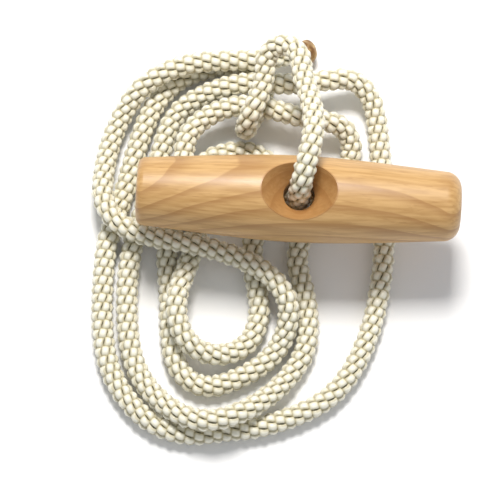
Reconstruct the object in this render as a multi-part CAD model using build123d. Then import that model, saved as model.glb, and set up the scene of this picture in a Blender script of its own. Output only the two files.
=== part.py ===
"""Pull cord with a turned wooden toggle handle, laid down as a loose hank.

Frame: +X along the handle, +Z up along its cross hole, origin at the handle's centre.
The hank lies on a level surface HANDLE_HEIGHT below the origin. All lengths are millimetres.
"""
from build123d import *
import math
import os

os.makedirs("parts", exist_ok=True)

# ---- handle ----
HANDLE_LENGTH = 108.5
MIDDLE_DIAMETER = 29.2
QUARTER_DIAMETER = 0.918 * MIDDLE_DIAMETER
END_DIAMETER = 0.774 * MIDDLE_DIAMETER
LEFT_END_ROUNDING = 2.5
RIGHT_END_ROUNDING = 5.5
COUNTERSINK_DIAMETER = 0.884 * MIDDLE_DIAMETER   # measured across the crown of the handle
COUNTERSINK_ANGLE = 80.0         # included angle of the cone
HANDLE_HEIGHT = 30.5             # of the handle's axis above the surface that the hank lies on

# ---- cord ----
CORD_DIAMETER = 8.0
CORE_DIAMETER = 0.625 * CORD_DIAMETER
CORE_GAP = 0.05                  # between the core's yarns and the braided sheath
TIP_LENGTH = 3.0
TIP_ROUNDING = 1.5
ARC_SHARE = 0.45                 # of the shorter run beside a corner that its arc may take up

# ---- hole through the handle, a running fit on the cord ----
BORE_CLEARANCE = 1.25            # all round the cord
BORE_DIAMETER = CORD_DIAMETER + 2 * BORE_CLEARANCE

# ---- countersink, cut by a cone that starts inside the hole and ends clear of the wood ----
CONE_INSET = 0.5                 # of the cone's small end within the hole's wall
CONE_OVERRUN = 2.0               # of its wide end above the crown
CONE_SLOPE = math.tan(math.radians(COUNTERSINK_ANGLE / 2))

# ---- stopper knot, seated in the countersink under the handle ----
KNOT_DIAMETER = 2.125 * CORD_DIAMETER
KNOT_HEIGHT = 1.275 * CORD_DIAMETER
KNOT_CLEARANCE = 4.2             # all round the knot, where it is widest
KNOT_DEPTH = (COUNTERSINK_DIAMETER / 2 - KNOT_CLEARANCE - KNOT_DIAMETER / 2) / CONE_SLOPE
KNOT_MIDDLE = KNOT_DEPTH - MIDDLE_DIAMETER / 2
KNOT_TOP = KNOT_MIDDLE + KNOT_HEIGHT / 2
KNOT_BOTTOM = KNOT_MIDDLE - KNOT_HEIGHT / 2
TAIL_REACH = 13.5                # from the hole's axis to the end of the knot's tail
TAIL_DIRECTION = Vector(-0.5, -0.85, -0.42).normalized()

# ---- the cord's route: x, y, and the height above the surface; it starts at the knot's top ----
ROUTE = [
    # out of the handle's hole and over to the top of the hank
    (0, 0, 21.2), (0, 0, 41.5), (1.8, 7.5, 48.5), (3.9, 18, 48.5), (3.4, 26.5, 43.5), (1.6, 34.5, 39),
    # folds back over the top of the hank and down across it
    (-1.1, 42, 36), (-1.6, 48.6, 34), (-4.6, 53.1, 31.5), (-9.9, 54.5, 28.5), (-13.3, 51.2, 25.4),
    (-13.8, 45.6, 23.1), (-14.6, 39.5, 22.2),
    # round under the two crossing strands
    (-17.1, 33, 21.6), (-19.1, 28.6, 16), (-19.4, 28.6, 9), (-18.1, 33.6, 4.2), (-14.1, 40.1, 4),
    (-13.6, 47.1, 4),
    # first turn: over the top left corner and down the left side
    (-17.1, 52.4, 4), (-24.1, 54.3, 4), (-33.6, 52.2, 4), (-43.1, 48.1, 4), (-50.6, 40.1, 4),
    (-54.6, 30.6, 4), (-57.1, 20.6, 4), (-59.1, 10.1, 4), (-61.6, 0.6, 4), (-65.1, -10.9, 4),
    (-65.6, -24.4, 4), (-65.1, -39.9, 4),
    # along the bottom and up the right side
    (-62.6, -53.9, 4), (-56.6, -64.9, 4), (-46.6, -74.4, 4), (-33.6, -77.9, 4), (-21.6, -75.6, 4),
    (-10.1, -74, 4), (1.4, -69.9, 4), (13.4, -63.4, 4), (21.6, -52.8, 4), (27.2, -38.2, 4),
    (29.8, -22.4, 4), (30.5, -6.9, 4), (29.5, 9.6, 4), (27.6, 24.1, 4), (26, 36, 4.5), (23.4, 44, 7),
    (17, 49.2, 10.5),
    # back through the top of the hank to the left
    (8, 47.4, 12.6), (-2.6, 45.2, 12.6), (-13.1, 45.2, 12.6), (-23.6, 44.7, 12),
    # second turn: down the left side inside the first
    (-33.6, 41.9, 8), (-42.6, 36.9, 4.5), (-47.1, 28.1, 4), (-49.1, 16.6, 4), (-51.6, 4.6, 4),
    (-55.1, -6.9, 4), (-57.1, -19.4, 4.6), (-56.9, -34.4, 5.2), (-55.1, -48.9, 5.2),
    (-50.6, -59.4, 5.4), (-43.1, -67.5, 7.5),
    # over the first turn at the bottom, then up beside the small ring and under the handle
    (-34.1, -72.9, 11), (-25.1, -73.9, 12.8), (-16.6, -70.9, 12.6), (-8.1, -64.9, 8), (-0.8, -57.1, 4.2),
    (5.2, -47.4, 4), (5.8, -35.9, 4), (3.4, -24.9, 4), (0.2, -15.9, 4), (1.6, -6.9, 4), (6.6, 2.1, 4),
    (12.9, 10.1, 4), (16.9, 18.6, 4), (17.9, 26.6, 5), (14.4, 32.1, 9),
    # third pass through the top, below the second
    (7.4, 33.1, 12.4), (-1.1, 33.6, 12.8), (-9.6, 35.6, 12.9), (-18.1, 37.1, 13), (-26.4, 36, 12.3),
    # down over the strand below it and round the small ring
    (-34.2, 31.7, 11.8), (-39.3, 25.6, 12.6), (-40.4, 17.3, 12.8), (-38.3, 8.6, 12.6), (-35.1, 0.6, 8.5),
    (-34.4, -5.9, 4.2), (-35.1, -12.4, 4), (-37.1, -22, 9.2), (-39.6, -29.9, 12.4),
    (-39.4, -39.4, 12.4), (-35.6, -46.9, 11), (-28.6, -50.4, 8), (-20.6, -49.4, 5), (-14.1, -44.9, 4),
    (-11.1, -36.4, 4), (-12.1, -27.4, 4), (-14.6, -18.4, 4), (-15.1, -8.4, 4), (-13.1, 0.6, 4),
    (-9.6, 8.4, 4),
    # the narrow arch behind the handle and back down the left of the ring, beneath it
    (-9.1, 16.1, 4), (-13.6, 21.8, 4), (-21.6, 22.8, 4), (-30, 20.7, 4), (-36.3, 14.8, 4),
    (-41.6, 6.6, 4), (-43.9, -3.4, 4), (-44.5, -15.4, 4), (-42.5, -28.9, 4), (-41.6, -41.4, 4),
    (-39.9, -51.9, 4), (-34.9, -59, 4),
    # round the ring and back to the left along the side of the handle
    (-27.1, -61.2, 4), (-18.1, -57.9, 4), (-9.3, -52.4, 4), (-3.3, -45.2, 4.6), (-1, -37.2, 8.8),
    (-2, -29.8, 12.4), (-8.2, -22.6, 13), (-17.6, -17.6, 13), (-27.6, -14.8, 13.2), (-37.6, -12.9, 13.8),
    (-47.1, -12, 13.3),
    # up the left side and over the top, the free end under the fold
    (-56.1, -9.9, 13), (-63.6, -5.4, 12.9), (-67.4, 2.1, 11), (-67.6, 12.1, 7), (-66.1, 23.6, 4.5),
    (-62.6, 33.4, 5), (-56.8, 42.4, 9.3), (-47.1, 48.5, 12.2), (-37.1, 51.6, 12.7), (-26.1, 52.7, 12.8),
    (-15.6, 53.4, 12.2), (-7.6, 56.6, 8), (0.4, 59.6, 4.6),
]


def barrel_radius_points():
    """Outline of the turned barrel, from one end to the other."""
    half = HANDLE_LENGTH / 2
    return [
        (-half, END_DIAMETER / 2),
        (-half / 2, QUARTER_DIAMETER / 2),
        (0, MIDDLE_DIAMETER / 2),
        (half / 2, QUARTER_DIAMETER / 2),
        (half, END_DIAMETER / 2),
    ]


def make_countersink(side):
    """Cone that opens to the crown on one side of the handle: side is +1 above or -1 below."""
    crown = MIDDLE_DIAMETER / 2
    small = BORE_DIAMETER / 2 - CONE_INSET
    wide = COUNTERSINK_DIAMETER / 2 + CONE_OVERRUN * CONE_SLOPE
    depth = (COUNTERSINK_DIAMETER / 2 - small) / CONE_SLOPE
    cone = Cone(small, wide, depth + CONE_OVERRUN, align=(Align.CENTER, Align.CENTER, Align.MIN))
    cone = Pos(0, 0, crown - depth) * cone
    if side < 0:
        cone = Rot(180, 0, 0) * cone
    return cone


def make_handle():
    """The turned toggle: one barrel of wood, bored crosswise and countersunk on both sides."""
    outline = barrel_radius_points()
    half = HANDLE_LENGTH / 2
    with BuildPart() as barrel:
        with BuildSketch(Plane.XY):
            with BuildLine():
                Spline(outline)
                Polyline(outline[-1], (half, 0), (-half, 0), outline[0])
            make_face()
        revolve(axis=Axis.X)
        left_rim = barrel.edges().filter_by(GeomType.CIRCLE).sort_by(Axis.X)[0]
        fillet(left_rim, LEFT_END_ROUNDING)
        right_rim = barrel.edges().filter_by(GeomType.CIRCLE).sort_by(Axis.X)[-1]
        fillet(right_rim, RIGHT_END_ROUNDING)
    bore = Cylinder(BORE_DIAMETER / 2, MIDDLE_DIAMETER * 2)
    return barrel.part - bore - make_countersink(1) - make_countersink(-1)


def route_points():
    points = [Vector(x, y, height - HANDLE_HEIGHT) for x, y, height in ROUTE]
    points[0] = Vector(0, 0, KNOT_TOP)
    return points


def turn_radii(points):
    """The largest arc that each corner's two runs allow."""
    radii = []
    for before, here, after in zip(points, points[1:], points[2:]):
        run_in = here - before
        run_out = after - here
        turn = math.radians(run_in.get_angle(run_out))
        shorter = min(run_in.length, run_out.length)
        radii.append(ARC_SHARE * shorter / math.tan(turn / 2))
    return radii


def make_tube(path, section):
    start = Plane(origin=path @ 0, z_dir=path % 0)
    return sweep(start * section, path=path)


def make_cord():
    """The braided sheath and its core, straight runs joined by tangent arcs."""
    points = route_points()
    radii = turn_radii(points)
    path = FilletPolyline(points, radius=radii)
    sheath_bore = CORE_DIAMETER / 2 + CORE_GAP
    sheath = make_tube(path, Circle(CORD_DIAMETER / 2) - Circle(sheath_bore))
    core = make_tube(path, Circle(CORE_DIAMETER / 2))
    print("cord length", round(path.length, 1))
    print("turn radii", [round(r, 1) for r in radii])
    sheath_section = math.pi * (CORD_DIAMETER ** 2 / 4 - sheath_bore ** 2)
    core_section = math.pi * CORE_DIAMETER ** 2 / 4
    print("sheath volume / section x length", round(sheath.volume / (sheath_section * path.length), 4))
    print("core volume / section x length", round(core.volume / (core_section * path.length), 4))
    return sheath, core, path


def make_tip(origin, direction):
    """A melted cord end: a short plug as wide as the cord, with its rim rounded over."""
    plug = Cylinder(CORD_DIAMETER / 2, TIP_LENGTH, align=(Align.CENTER, Align.CENTER, Align.MIN))
    rim = plug.edges().filter_by(GeomType.CIRCLE).sort_by(Axis.Z)[-1]
    plug = fillet(rim, TIP_ROUNDING)
    return Plane(origin=origin, z_dir=direction) * plug


def make_knot():
    """The stopper knot as one closed solid: a squat barrel with its short tail."""
    radius = KNOT_DIAMETER / 2
    cord = CORD_DIAMETER / 2
    with BuildPart() as barrel:
        with BuildSketch(Plane.XZ):
            with BuildLine():
                Polyline((0, KNOT_BOTTOM), (0, KNOT_TOP), (cord, KNOT_TOP))
                ThreePointArc((cord, KNOT_TOP), (radius, KNOT_MIDDLE), (cord, KNOT_BOTTOM))
                Line((cord, KNOT_BOTTOM), (0, KNOT_BOTTOM))
            make_face()
        revolve(axis=Axis.Z)
    tail_start = Vector(0, 0, KNOT_MIDDLE)
    tail_length = TAIL_REACH - TIP_LENGTH
    tail = Cylinder(cord, tail_length, align=(Align.CENTER, Align.CENTER, Align.MIN))
    tail = Plane(origin=tail_start, z_dir=TAIL_DIRECTION) * tail
    tail_end = tail_start + TAIL_DIRECTION * tail_length
    return barrel.part + tail, tail_end


def main():
    sheath, core, path = make_cord()
    knot, tail_end = make_knot()
    nodes = {
        "handle": make_handle(),
        "cord_sheath": sheath,
        "cord_core": core,
        "free_end_tip": make_tip(path @ 1, path % 1),
        "stopper_knot": knot,
        "knot_tail_tip": make_tip(tail_end, TAIL_DIRECTION) - knot,
    }
    for name, shape in nodes.items():
        shape.label = name
        export_step(shape, f"parts/{name}.step")
        print(name, "solids", len(shape.solids()), "volume", round(shape.volume, 1))


main()
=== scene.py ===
import math

import bpy
from mathutils import Matrix, Vector


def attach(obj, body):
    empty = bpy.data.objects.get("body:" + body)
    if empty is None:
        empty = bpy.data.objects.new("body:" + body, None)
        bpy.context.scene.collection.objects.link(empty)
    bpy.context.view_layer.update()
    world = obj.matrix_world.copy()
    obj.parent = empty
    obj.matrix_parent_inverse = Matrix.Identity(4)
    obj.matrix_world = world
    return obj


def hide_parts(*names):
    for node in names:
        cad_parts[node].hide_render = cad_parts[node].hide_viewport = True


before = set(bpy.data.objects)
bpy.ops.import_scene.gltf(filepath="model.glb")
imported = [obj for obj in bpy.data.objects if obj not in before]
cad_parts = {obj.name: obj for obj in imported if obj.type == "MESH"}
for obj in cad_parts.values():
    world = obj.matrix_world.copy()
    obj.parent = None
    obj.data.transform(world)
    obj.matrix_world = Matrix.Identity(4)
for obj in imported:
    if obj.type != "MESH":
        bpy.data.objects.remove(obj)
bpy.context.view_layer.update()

# ---------------------------------------------------------------- camera
# A long lens high above the work, its picture's upright a little off the handle's square.
EYE_ELEVATION = math.radians(77.0)
EYE_TURN = math.radians(3.0)
EYE_DISTANCE = 0.900
LENS_MM = 193.2
SENSOR_MM = 36.0
AIM_RIGHT = -0.01635
AIM_UP = -0.0171

look = Vector((
    -math.sin(EYE_TURN) * math.cos(EYE_ELEVATION),
    math.cos(EYE_TURN) * math.cos(EYE_ELEVATION),
    -math.sin(EYE_ELEVATION),
))
right = Vector((math.cos(EYE_TURN), math.sin(EYE_TURN), 0.0))
up = right.cross(look)
lens = bpy.data.cameras.new("Studio camera")
lens.lens = LENS_MM
lens.sensor_width = SENSOR_MM
lens.clip_start = 0.02
camera = bpy.data.objects.new("Studio camera", lens)
camera.matrix_world = (
    Matrix.Translation(right * AIM_RIGHT + up * AIM_UP - look * EYE_DISTANCE)
    @ Matrix((right, up, -look)).transposed().to_4x4()
)
bpy.context.collection.objects.link(camera)
bpy.context.scene.camera = camera


# ---------------------------------------------------------------- floor
# A white matt sheet of card, wide enough to run out of every view. It isn't part of the object.
SURFACE = -0.0305
FLOOR_REACH = 6.0
FLOOR_WHITE = (0.96, 0.96, 0.965, 1.0)
FLOOR_ROUGHNESS = 0.75


class Wire:
    """A socket that Python's arithmetic works on, in a shader tree or a geometry tree."""

    def __init__(self, tree, socket=None):
        self.tree = tree
        self.socket = socket

    def add(self, kind, settings=None, sockets=None, out=0):
        """A new node: its settings go on first, then the values or links of its sockets."""
        node = self.tree.nodes.new(kind)
        for name, value in (settings or {}).items():
            setattr(node, name, value)
        for name, value in (sockets or {}).items():
            if isinstance(value, Wire):
                self.tree.links.new(value.socket, node.inputs[name])
            else:
                node.inputs[name].default_value = value
        return Wire(self.tree, node.outputs[out])

    def math(self, operation, *others):
        return self.add("ShaderNodeMath", {"operation": operation}, dict(enumerate((self, *others))))

    def vector(self, operation, *others):
        return self.add("ShaderNodeVectorMath", {"operation": operation}, dict(enumerate((self, *others))))

    def scaled(self, factor):
        return self.add("ShaderNodeVectorMath", {"operation": "SCALE"}, {0: self, 3: factor})

    def blend(self, first, second):
        """This value, from 0 to 1, takes one colour over to the other."""
        return self.add("ShaderNodeMix", {"data_type": "RGBA"}, {0: self, 6: first, 7: second}, out=2)

    def spread(self, low, high):
        """A smooth step from 0 to 1 as this value goes from low to high."""
        return self.add(
            "ShaderNodeMapRange", {"interpolation_type": "SMOOTHSTEP"}, {0: self, 1: low, 2: high}
        )

    def __add__(self, other):
        return self.math("ADD", other)

    def __radd__(self, other):
        return self.math("ADD", other)

    def __sub__(self, other):
        return self.math("SUBTRACT", other)

    def __rsub__(self, other):
        return self.add("ShaderNodeMath", {"operation": "SUBTRACT"}, {0: other, 1: self})

    def __mul__(self, other):
        return self.math("MULTIPLY", other)

    def __rmul__(self, other):
        return self.math("MULTIPLY", other)

    def __truediv__(self, other):
        return self.math("DIVIDE", other)


def new_finish(name):
    """An empty material: itself, a wire to start its nodes from, and its surface shader."""
    finish = bpy.data.materials.new(name)
    finish.use_nodes = True
    return finish, Wire(finish.node_tree), finish.node_tree.nodes["Principled BSDF"]


def feed(shader, **sockets):
    """Values or wires onto a shader's sockets, by their names with underscores for spaces."""
    for name, value in sockets.items():
        socket = shader.inputs[name.replace("_", " ")]
        if isinstance(value, Wire):
            value.tree.links.new(value.socket, socket)
        else:
            socket.default_value = value


def put(name, mesh):
    thing = bpy.data.objects.new(name, mesh)
    bpy.context.collection.objects.link(thing)
    return thing


card, _, shader = new_finish("White card")
feed(shader, Base_Color=FLOOR_WHITE, Roughness=FLOOR_ROUGHNESS)
sheet = bpy.data.meshes.new("Floor")
sheet.from_pydata(
    [(x * FLOOR_REACH, y * FLOOR_REACH, SURFACE) for x, y in ((-1, -1), (1, -1), (1, 1), (-1, 1))],
    [], [(0, 1, 2, 3)],
)
sheet.materials.append(card)
put("Floor", sheet)

# ---------------------------------------------------------------- light
# A big soft box behind and above the work, a weaker one in front, and a pale room all round.
ROOM_COLOUR = (0.93, 0.96, 1.0)
ROOM_STRENGTH = 0.42
LAMPS = (
    ("Soft box behind", (-0.05, 0.46, 0.88), 0.26, 10.8, (1.0, 0.975, 0.94)),
    ("Soft box in front", (0.55, -0.45, 0.75), 0.60, 0.5, (1.0, 0.99, 0.97)),
)

room = bpy.data.worlds.new("Pale room")
room.use_nodes = True
room_light = room.node_tree.nodes["Background"]
room_light.inputs["Color"].default_value = (*ROOM_COLOUR, 1.0)
room_light.inputs["Strength"].default_value = ROOM_STRENGTH
bpy.context.scene.world = room
for name, place, side, power, colour in LAMPS:
    lamp = bpy.data.lights.new(name, "AREA")
    lamp.size = side
    lamp.energy = power
    lamp.color = colour
    stand = put(name, lamp)
    stand.location = place
    stand.rotation_euler = (-Vector(place)).to_track_quat("-Z", "Y").to_euler()
bpy.context.scene.view_settings.view_transform = "Standard"

# ---------------------------------------------------------------- the cord's line
# Eight-millimetre braided nylon, about 1.4 m of it, gathered into a loose hank of three turns and
# a small ring. Each point is x, y and the height above the surface, in millimetres.
MM = 0.001
CORD_LENGTH = 1.38
ROUTE = (
    # out of the handle's hole and over to the top of the hank
    (0, 0, 21.2), (0, 0, 41.5), (1.8, 7.5, 48.5), (3.9, 18, 48.5), (3.4, 26.5, 43.5), (1.6, 34.5, 39),
    # folds back over the top of the hank and down across it
    (-1.1, 42, 36), (-1.6, 48.6, 34), (-4.6, 53.1, 31.5), (-9.9, 54.5, 28.5), (-13.3, 51.2, 25.4),
    (-13.8, 45.6, 23.1), (-14.6, 39.5, 22.2),
    # round under the two crossing strands
    (-17.1, 33, 21.6), (-19.1, 28.6, 16), (-19.4, 28.6, 9), (-18.1, 33.6, 4.2), (-14.1, 40.1, 4),
    (-13.6, 47.1, 4),
    # first turn: over the top left corner and down the left side
    (-17.1, 52.4, 4), (-24.1, 54.3, 4), (-33.6, 52.2, 4), (-43.1, 48.1, 4), (-50.6, 40.1, 4),
    (-54.6, 30.6, 4), (-57.1, 20.6, 4), (-59.1, 10.1, 4), (-61.6, 0.6, 4), (-65.1, -10.9, 4),
    (-65.6, -24.4, 4), (-65.1, -39.9, 4),
    # along the bottom and up the right side
    (-62.6, -53.9, 4), (-56.6, -64.9, 4), (-46.6, -74.4, 4), (-33.6, -77.9, 4), (-21.6, -75.6, 4),
    (-10.1, -74, 4), (1.4, -69.9, 4), (13.4, -63.4, 4), (21.6, -52.8, 4), (27.2, -38.2, 4),
    (29.8, -22.4, 4), (30.5, -6.9, 4), (29.5, 9.6, 4), (27.6, 24.1, 4), (26, 36, 4.5), (23.4, 44, 7),
    (17, 49.2, 10.5),
    # back through the top of the hank to the left
    (8, 47.4, 12.6), (-2.6, 45.2, 12.6), (-13.1, 45.2, 12.6), (-23.6, 44.7, 12),
    # second turn: down the left side inside the first
    (-33.6, 41.9, 8), (-42.6, 36.9, 4.5), (-47.1, 28.1, 4), (-49.1, 16.6, 4), (-51.6, 4.6, 4),
    (-55.1, -6.9, 4), (-57.1, -19.4, 4.6), (-56.9, -34.4, 5.2), (-55.1, -48.9, 5.2),
    (-50.6, -59.4, 5.4), (-43.1, -67.5, 7.5),
    # over the first turn at the bottom, then up beside the small ring and under the handle
    (-34.1, -72.9, 11), (-25.1, -73.9, 12.8), (-16.6, -70.9, 12.6), (-8.1, -64.9, 8), (-0.8, -57.1, 4.2),
    (5.2, -47.4, 4), (5.8, -35.9, 4), (3.4, -24.9, 4), (0.2, -15.9, 4), (1.6, -6.9, 4), (6.6, 2.1, 4),
    (12.9, 10.1, 4), (16.9, 18.6, 4), (17.9, 26.6, 5), (14.4, 32.1, 9),
    # third pass through the top, below the second
    (7.4, 33.1, 12.4), (-1.1, 33.6, 12.8), (-9.6, 35.6, 12.9), (-18.1, 37.1, 13), (-26.4, 36, 12.3),
    # down over the strand below it and round the small ring
    (-34.2, 31.7, 11.8), (-39.3, 25.6, 12.6), (-40.4, 17.3, 12.8), (-38.3, 8.6, 12.6), (-35.1, 0.6, 8.5),
    (-34.4, -5.9, 4.2), (-35.1, -12.4, 4), (-37.1, -22, 9.2), (-39.6, -29.9, 12.4),
    (-39.4, -39.4, 12.4), (-35.6, -46.9, 11), (-28.6, -50.4, 8), (-20.6, -49.4, 5), (-14.1, -44.9, 4),
    (-11.1, -36.4, 4), (-12.1, -27.4, 4), (-14.6, -18.4, 4), (-15.1, -8.4, 4), (-13.1, 0.6, 4),
    (-9.6, 8.4, 4),
    # the narrow arch behind the handle and back down the left of the ring, beneath it
    (-9.1, 16.1, 4), (-13.6, 21.8, 4), (-21.6, 22.8, 4), (-30, 20.7, 4), (-36.3, 14.8, 4),
    (-41.6, 6.6, 4), (-43.9, -3.4, 4), (-44.5, -15.4, 4), (-42.5, -28.9, 4), (-41.6, -41.4, 4),
    (-39.9, -51.9, 4), (-34.9, -59, 4),
    # round the ring and back to the left along the side of the handle
    (-27.1, -61.2, 4), (-18.1, -57.9, 4), (-9.3, -52.4, 4), (-3.3, -45.2, 4.6), (-1, -37.2, 8.8),
    (-2, -29.8, 12.4), (-8.2, -22.6, 13), (-17.6, -17.6, 13), (-27.6, -14.8, 13.2), (-37.6, -12.9, 13.8),
    (-47.1, -12, 13.3),
    # up the left side and over the top, the free end under the fold
    (-56.1, -9.9, 13), (-63.6, -5.4, 12.9), (-67.4, 2.1, 11), (-67.6, 12.1, 7), (-66.1, 23.6, 4.5),
    (-62.6, 33.4, 5), (-56.8, 42.4, 9.3), (-47.1, 48.5, 12.2), (-37.1, 51.6, 12.7), (-26.1, 52.7, 12.8),
    (-15.6, 53.4, 12.2), (-7.6, 56.6, 8), (0.4, 59.6, 4.6),
)
LINE_STEPS = 16
ROD_RESOLUTION = 2


def smooth_line(name, points, radius=0.0):
    """A smooth curve through this route as a mesh: bare edges, or a closed rod of this radius."""
    drawn = bpy.data.curves.new(name, "CURVE")
    drawn.dimensions = "3D"
    drawn.resolution_u = LINE_STEPS
    drawn.bevel_depth = radius
    drawn.bevel_resolution = ROD_RESOLUTION
    drawn.use_fill_caps = True
    spline = drawn.splines.new("NURBS")
    spline.points.add(len(points) - 1)
    for control, point in zip(spline.points, points):
        control.co = (*point, 1.0)
    spline.order_u = 3
    spline.use_endpoint_u = True
    holder = put(name, drawn)
    line = bpy.data.meshes.new_from_object(holder.evaluated_get(bpy.context.evaluated_depsgraph_get()))
    bpy.data.objects.remove(holder)
    return line


cord_route = [(x * MM, y * MM, height * MM + SURFACE) for x, y, height in ROUTE]
cord_line = smooth_line("Cord line", cord_route)
cord_path = [vertex.co.copy() for vertex in cord_line.vertices]

# ---------------------------------------------------------------- core of the cord
# A bundle of parallel yarns inside the braid, coloured dark grey-olive as painted shade. It shows only in the
# slits between the plump strands that are plaited tightly round it, where it stands for their shadow.
CORE_RADIUS = 2.55 * MM
CORE_PAINTED_SHADE = (0.20, 0.17, 0.08, 1.0)

core_yarn_painted_shade, _, shader = new_finish("Core yarn painted dark as shade")
# painted shade: the core is coloured dark, not yarn white, to stand for the shadow in the slits
feed(shader, Base_Color=CORE_PAINTED_SHADE, Roughness=0.8)
core_rod = smooth_line("Core yarns", cord_route, CORE_RADIUS)
core_rod.materials.append(core_yarn_painted_shade)
core_rod.shade_smooth()
core = put("cord_core_yarns", core_rod)
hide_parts("cord_core")
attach(core, "hank")

# ---------------------------------------------------------------- braided sheath
# A solid braid of twelve plump strands of glossy nylon yarn. Every strand rises to the surface as
# a short leaning bead and dives under its neighbours; the braider lays them all at one lean.
STRANDS = 12
BEAD_LENGTH = 6.2 * MM
BEAD_LEAN = math.tan(math.radians(17.0))
STRAND_CIRCLE = 2.15 * MM
WAVE = 0.95 * MM
STRAND_WIDTH = 2.9 * MM
STRAND_THICKNESS = 1.8 * MM
STRAND_SIDES = 6
RINGS_PER_BEAD = 6
RING_SPACING = 0.17
HIDDEN_RING_SHIFT = -0.01
FALL = 14.0
TUCK = 0.37
WAIST_RAMP = 4.0


def braid_tree():
    """Strands plaited round the line that comes in: plump leaning beads, alternate ones staggered."""
    tree = bpy.data.node_groups.new("Solid braid", "GeometryNodeTree")
    inputs = (
        ("Line", "NodeSocketGeometry"), ("Strands", "NodeSocketInt"), ("Beads", "NodeSocketInt"),
        ("Lean", "NodeSocketFloat"), ("Circle", "NodeSocketFloat"), ("Wave", "NodeSocketFloat"),
        ("Width", "NodeSocketFloat"), ("Thickness", "NodeSocketFloat"), ("Squeeze", "NodeSocketFloat"),
        ("Finish", "NodeSocketMaterial"),
    )
    for name, kind in inputs:
        tree.interface.new_socket(name, in_out="INPUT", socket_type=kind)
    tree.interface.new_socket("Strands", in_out="OUTPUT", socket_type="NodeSocketGeometry")
    given = {socket.name: Wire(tree, socket) for socket in tree.nodes.new("NodeGroupInput").outputs}
    wire = Wire(tree)

    line = wire.add("GeometryNodeMeshToCurve", {}, {"Mesh": given["Line"]})
    line = wire.add("GeometryNodeSetCurveNormal", {"mode": "MINIMUM_TWIST"}, {"Curve": line})
    length = wire.add("GeometryNodeCurveLength", {}, {"Curve": line})
    strand = wire.add("GeometryNodeCurvePrimitiveLine")
    rings = given["Beads"] * RINGS_PER_BEAD
    strand = wire.add("GeometryNodeResampleCurve", {"mode": "COUNT"}, {"Curve": strand, "Count": rings})
    copies = wire.add(
        "GeometryNodeDuplicateElements", {"domain": "SPLINE"},
        {"Geometry": strand, "Amount": given["Strands"]},
    )
    which = Wire(tree, copies.socket.node.outputs["Duplicate Index"])

    # each bead has five rings where it shows and one where it runs under its neighbours
    ring = wire.add("GeometryNodeSplineParameter", out=2)
    bead = (ring / RINGS_PER_BEAD).math("FLOOR")
    within = ring - bead * RINGS_PER_BEAD
    under = within.math("GREATER_THAN", RINGS_PER_BEAD - 1.5)
    middle = (RINGS_PER_BEAD - 2) / 2
    phase = (within - middle) * RING_SPACING + under * HIDDEN_RING_SHIFT
    stagger = which.math("MODULO", 2.0) * 0.5
    bead_length = length / (given["Beads"] + 0.5)
    along = (bead + phase + stagger + 0.5) * bead_length
    sample = wire.add(
        "GeometryNodeSampleCurve", {"mode": "LENGTH", "use_all_curves": True},
        {"Curves": line, "Length": along}, out=1,
    )
    outputs = sample.socket.node.outputs
    centre, tangent, normal = (Wire(tree, outputs[name]) for name in ("Position", "Tangent", "Normal"))
    lift = (1.0 - phase * phase * FALL).math("MAXIMUM", -1.0)
    surface = given["Circle"] + given["Wave"]
    lean = (1.0 - under) * phase * bead_length * given["Lean"] / surface
    angle = which / given["Strands"] * (2 * math.pi) + lean
    outward = normal.scaled(angle.math("COSINE")).vector(
        "ADD", tangent.vector("CROSS_PRODUCT", normal).scaled(angle.math("SINE"))
    )
    share = (along / length).math("MINIMUM", 1.0)
    waist = 1.0 - given["Squeeze"] * ((share * math.pi).math("SINE") * WAIST_RAMP).math("MINIMUM", 1.0)
    reach = (given["Circle"] + given["Wave"] * lift) * waist

    strands = wire.add(
        "GeometryNodeStoreNamedAttribute", {"data_type": "FLOAT_VECTOR", "domain": "POINT"},
        {"Geometry": copies, "Name": "outward", "Value": outward},
    )
    for name, value in (("along", along), ("lift", lift), ("strand", which + bead * 1.7)):
        strands = wire.add(
            "GeometryNodeStoreNamedAttribute", {"data_type": "FLOAT", "domain": "POINT"},
            {"Geometry": strands, "Name": name, "Value": value},
        )
    strands = wire.add(
        "GeometryNodeSetPosition", {},
        {"Geometry": strands, "Position": centre.vector("ADD", outward.scaled(reach))},
    )
    kept = wire.add("GeometryNodeInputNamedAttribute", {"data_type": "FLOAT_VECTOR"}, {"Name": "outward"})
    strands = wire.add("GeometryNodeSetCurveNormal", {"mode": "FREE"}, {"Curve": strands, "Normal": kept})
    strands = wire.add(
        "GeometryNodeSetCurveRadius", {}, {"Curve": strands, "Radius": (1.0 - TUCK * (1.0 - lift)) * waist}
    )

    section = wire.add(
        "GeometryNodeCurvePrimitiveCircle", {"mode": "RADIUS"}, {"Resolution": STRAND_SIDES, "Radius": 1.0}
    )
    across = wire.add("ShaderNodeSeparateXYZ", {}, {0: wire.add("GeometryNodeInputPosition")}, out=1)
    section = wire.add(
        "GeometryNodeStoreNamedAttribute", {"data_type": "FLOAT", "domain": "POINT"},
        {"Geometry": section, "Name": "across", "Value": across},
    )
    size = wire.add(
        "ShaderNodeCombineXYZ", {}, {0: given["Thickness"] * 0.5, 1: given["Width"] * 0.5, 2: 1.0}
    )
    section = wire.add("GeometryNodeTransform", {}, {"Geometry": section, "Scale": size})
    solid = wire.add(
        "GeometryNodeCurveToMesh", {}, {"Curve": strands, "Profile Curve": section, "Fill Caps": True}
    )
    solid = wire.add("GeometryNodeRemoveAttribute", {}, {"Geometry": solid, "Name": "outward"})
    solid = wire.add("GeometryNodeRealizeInstances", {}, {"Geometry": solid})
    solid = wire.add("GeometryNodeSetMaterial", {}, {"Geometry": solid, "Material": given["Finish"]})
    tree.links.new(solid.socket, tree.nodes.new("NodeGroupOutput").inputs[0])
    return tree


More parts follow.
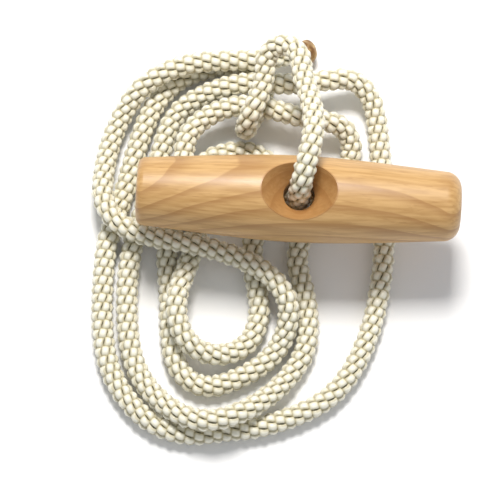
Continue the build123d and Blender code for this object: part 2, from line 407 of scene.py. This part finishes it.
def through_tree(name, line, tree, **values):
    """A plain mesh of what a geometry tree makes from a line, its inputs set by name."""
    maker = put(name, line)
    modifier = maker.modifiers.new(name, "NODES")
    modifier.node_group = tree
    for item in tree.interface.items_tree:
        if item.in_out == "INPUT" and item.name in values:
            modifier[item.identifier] = values[item.name]
    bpy.context.view_layer.update()
    made = bpy.data.meshes.new_from_object(maker.evaluated_get(bpy.context.evaluated_depsgraph_get()))
    bpy.data.objects.remove(maker)
    made.name = name
    made.shade_smooth()
    return put(name, made)


# Cream yarn: each bead is a bundle of shiny filaments, with painted shade, dark yellow-olive, where it dips
# under the next and towards its edges.
YARN_CREAM = (0.93, 0.90, 0.76, 1.0)
YARN_PAINTED_SHADE = (0.36, 0.29, 0.09, 1.0)
FILAMENTS_ALONG = 150.0
FILAMENTS_ACROSS = 3.5
FILAMENT_SHIFT = 7.3

yarn, wire, shader = new_finish("Cream nylon yarn")
along = wire.add("ShaderNodeAttribute", {"attribute_name": "along"}, out=2)
across = wire.add("ShaderNodeAttribute", {"attribute_name": "across"}, out=2)
lift = wire.add("ShaderNodeAttribute", {"attribute_name": "lift"}, out=2)
strand = wire.add("ShaderNodeAttribute", {"attribute_name": "strand"}, out=2)
filaments = wire.add(
    "ShaderNodeTexNoise", {"noise_dimensions": "3D"},
    {
        "Vector": wire.add("ShaderNodeCombineXYZ", {}, {
            0: along * FILAMENTS_ALONG, 1: across * FILAMENTS_ACROSS, 2: strand * FILAMENT_SHIFT,
        }),
        "Scale": 1.6, "Detail": 2.0, "Roughness": 0.6,
    },
)
# painted shade: darker yellow-olive where a bead dips under its neighbours, and less strongly towards its
# edges
dip_painted_shade_mask = lift.spread(-0.5, 0.9)
edge_painted_shade_mask = across.math("ABSOLUTE").spread(0.4, 1.0)
yarn_with_painted_shade = (dip_painted_shade_mask * (1.0 - edge_painted_shade_mask * 0.5)).blend(YARN_PAINTED_SHADE, YARN_CREAM)
bump = wire.add("ShaderNodeBump", {}, {"Strength": 0.25, "Distance": 0.0002, "Height": filaments})
feed(shader, Base_Color=yarn_with_painted_shade, Roughness=0.20 + filaments * 0.2, Normal=bump, IOR=1.53)
feed(shader, Sheen_Weight=0.15, Sheen_Roughness=0.4)

weave = braid_tree()
sheath = through_tree(
    "cord_sheath_strands", cord_line, weave,
    Strands=STRANDS, Beads=round(CORD_LENGTH / BEAD_LENGTH), Lean=BEAD_LEAN, Circle=STRAND_CIRCLE,
    Wave=WAVE, Width=STRAND_WIDTH, Thickness=STRAND_THICKNESS, Squeeze=0.0, Finish=yarn,
)
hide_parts("cord_sheath")
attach(sheath, "hank")

# ---------------------------------------------------------------- stopper knot
# An overhand knot tied in the cord itself and pulled up small, so its braid is squeezed thinner.
# It bears on the wood of the lower countersink and keeps the cord from pulling through.
KNOT_ROUTE = (
    (0, 0, -8.6), (0.1, -0.4, -10.2), (0.3, -1.2, -12), (4.46, -0.27, -17.1), (5.2, 3, -14.2),
    (2, 4, -11.3), (-1.73, 1, -14.2), (-2.46, -3.73, -17.1), (0, -6, -14.2), (2.46, -3.73, -11.3),
    (1.73, 1, -14.2), (-2, 4, -17.1), (-5.2, 3, -14.2), (-4.46, -0.27, -11.3), (-3.6, -3.2, -12.2),
    (-3.9, -5.4, -14.8), (-4.4, -7, -17.2),
)
KNOT_SQUEEZE = 0.36
KNOT_BEAD = 4.6 * MM

knot_route = [(x * MM, y * MM, z * MM) for x, y, z in KNOT_ROUTE]
knot_line = smooth_line("Knot line", knot_route)
knot_points = [vertex.co.copy() for vertex in knot_line.vertices]
knot_length = sum((after - before).length for before, after in zip(knot_points, knot_points[1:]))
knot = through_tree(
    "stopper_knot_strands", knot_line, weave,
    Strands=STRANDS, Beads=round(knot_length / KNOT_BEAD), Lean=BEAD_LEAN, Circle=STRAND_CIRCLE,
    Wave=WAVE, Width=STRAND_WIDTH, Thickness=STRAND_THICKNESS, Squeeze=KNOT_SQUEEZE, Finish=yarn,
)
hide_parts("stopper_knot")
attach(knot, "hank")
knot_rod = smooth_line("Knot core", knot_route, CORE_RADIUS * (1 - KNOT_SQUEEZE))
knot_rod.materials.append(core_yarn_painted_shade)
knot_rod.shade_smooth()
knot_core = put("stopper_knot_core", knot_rod)
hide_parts("stopper_knot")
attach(knot_core, "hank")

# ---------------------------------------------------------------- sealed ends
# The cord's two ends, melted with a flame so that the braid can't fray: hard brown glassy lumps,
# uneven round the rim, that run back a little way over the strands.
TIP_RADIUS = 4.05 * MM
TIP_LENGTH = 3.0 * MM
TIP_OVERLAP = 1.6 * MM
TIP_RINGS = 14
TIP_SIDES = 36
TIP_BROWN = (0.20, 0.095, 0.03, 1.0)
TIP_AMBER = (0.52, 0.34, 0.14, 1.0)
TIP_PATCHES = 420.0
DOME_START = 0.45
DOME_RUN = 0.60
RAGGED_EDGE = 0.45 * MM
RAGGED_BODY = 0.2 * MM

melted, wire, shader = new_finish("Melted nylon")
patches = wire.add(
    "ShaderNodeTexNoise", {},
    {"Vector": wire.add("ShaderNodeTexCoord", {}, {}, out=3), "Scale": TIP_PATCHES, "Detail": 3.0},
)
bump = wire.add("ShaderNodeBump", {}, {"Strength": 0.3, "Distance": 0.0003, "Height": patches})
browned = patches.spread(0.35, 0.7).blend(TIP_BROWN, TIP_AMBER)
feed(shader, Base_Color=browned, Roughness=0.28, Normal=bump)


def melted_tip(name, end, direction):
    """A closed lump on the cord's end: domed ahead, ragged where it runs back over the braid."""
    forward = direction.normalized()
    side = forward.orthogonal().normalized()
    other = forward.cross(side)
    points = [end - forward * TIP_OVERLAP]
    for ring in range(TIP_RINGS):
        share = ring / (TIP_RINGS - 1)
        dome = math.sqrt(max(0.0, 1.0 - max(0.0, (share - DOME_START) / DOME_RUN) ** 2))
        for step in range(TIP_SIDES):
            turn = 2 * math.pi * step / TIP_SIDES
            ragged = RAGGED_EDGE * math.sin(3 * turn + 1.0) * (1.0 - share) + RAGGED_BODY * math.sin(5 * turn)
            lumpy = 1.0 + 0.05 * math.sin(2 * turn + 5 * share) + 0.03 * math.sin(5 * turn - 7 * share)
            reach = TIP_RADIUS * dome * lumpy
            place = -TIP_OVERLAP + (TIP_OVERLAP + TIP_LENGTH) * share + ragged * (1.0 - share)
            points.append(end + forward * place + (side * math.cos(turn) + other * math.sin(turn)) * reach)
    points.append(end + forward * TIP_LENGTH)
    faces = []
    for step in range(TIP_SIDES):
        after = (step + 1) % TIP_SIDES
        faces.append((0, 1 + after, 1 + step))
        for ring in range(TIP_RINGS - 1):
            low = 1 + ring * TIP_SIDES
            high = low + TIP_SIDES
            faces.append((low + step, low + after, high + after, high + step))
        last = 1 + (TIP_RINGS - 1) * TIP_SIDES
        faces.append((last + step, last + after, len(points) - 1))
    lump = bpy.data.meshes.new(name)
    lump.from_pydata(points, [], faces)
    lump.materials.append(melted)
    lump.shade_smooth()
    return put(name, lump)


free_tip = melted_tip("free_end_melted", cord_path[-1], cord_path[-1] - cord_path[-3])
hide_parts("free_end_tip")
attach(free_tip, "hank")
tail_tip = melted_tip("knot_tail_melted", knot_points[-1], knot_points[-1] - knot_points[-3])
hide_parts("knot_tail_tip")
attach(tail_tip, "hank")

# ---------------------------------------------------------------- handle
# A toggle turned from one stick of pale beech, bored across its middle and countersunk on both
# sides, sanded and left with a thin satin coat. The stick was sawn a little off its own grain.
GRAIN_LIGHT = (0.63, 0.385, 0.155, 1.0)
GRAIN_MAIN = (0.49, 0.275, 0.095, 1.0)
GRAIN_DARK = (0.33, 0.15, 0.042, 1.0)
CUT_BROWN = (0.36, 0.16, 0.045, 1.0)
PITH_Y = -0.055
PITH_Z = -0.060
PITH_RISE = 0.16
PITH_BOW = 5.0
RING_WIDTH = 0.0052
RING_WAVER = 0.007
WAVER_STRETCH = (9.0, 40.0, 40.0)
FIBRE_STRETCH = (45.0, 900.0, 900.0)
FLECK_STRETCH = (160.0, 1800.0, 1800.0)

wood, wire, shader = new_finish("Satin beech")
place = wire.add("ShaderNodeTexCoord", {}, {}, out=3)
x, y, z = (wire.add("ShaderNodeSeparateXYZ", {}, {0: place}, out=axis) for axis in range(3))
warp = wire.add(
    "ShaderNodeTexNoise", {},
    {"Vector": place.vector("MULTIPLY", WAVER_STRETCH), "Scale": 1.0, "Detail": 2.0},
)
ring_y = y - PITH_Y - x * PITH_RISE
ring_z = z - PITH_Z + x * x * PITH_BOW
from_pith = (ring_y * ring_y + ring_z * ring_z).math("SQRT") + (warp - 0.5) * RING_WAVER
growth = (from_pith / RING_WIDTH).math("FRACT")
late_wood = growth.spread(0.45, 0.95) * (1.0 - growth.spread(0.95, 1.0))
fibres = wire.add(
    "ShaderNodeTexNoise", {},
    {"Vector": place.vector("MULTIPLY", FIBRE_STRETCH), "Scale": 1.0, "Detail": 3.0},
)
flecks = wire.add(
    "ShaderNodeTexNoise", {},
    {"Vector": place.vector("MULTIPLY", FLECK_STRETCH), "Scale": 1.0, "Detail": 1.0},
)
tone = fibres.spread(0.3, 0.7).blend(GRAIN_MAIN, GRAIN_LIGHT)
tone = (late_wood * 0.55).blend(tone, GRAIN_DARK)
tone = (flecks.spread(0.60, 0.75) * 0.35).blend(tone, GRAIN_DARK)

# the countersinks' walls are cut across the fibres and come out browner
CONE_MOUTH = 0.0129
CONE_SLOPE = 0.839
CROWN = 0.0146
out_from_hole = (x * x + y * y).math("SQRT")
cone_wall = out_from_hole - (CONE_MOUTH - (CROWN - z.math("ABSOLUTE")) * CONE_SLOPE)
cut = 1.0 - cone_wall.math("ABSOLUTE").spread(0.0002, 0.0007)
tone = (cut * 0.6).blend(tone, CUT_BROWN)
bump = wire.add("ShaderNodeBump", {}, {"Strength": 0.12, "Distance": 0.0002, "Height": fibres})
feed(shader, Base_Color=tone, Roughness=0.36 + fibres * 0.2, Normal=bump, Coat_Weight=0.25)
feed(shader, Coat_Roughness=0.3, IOR=1.5)

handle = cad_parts["handle"]
handle.data.materials.clear()
handle.data.materials.append(wood)
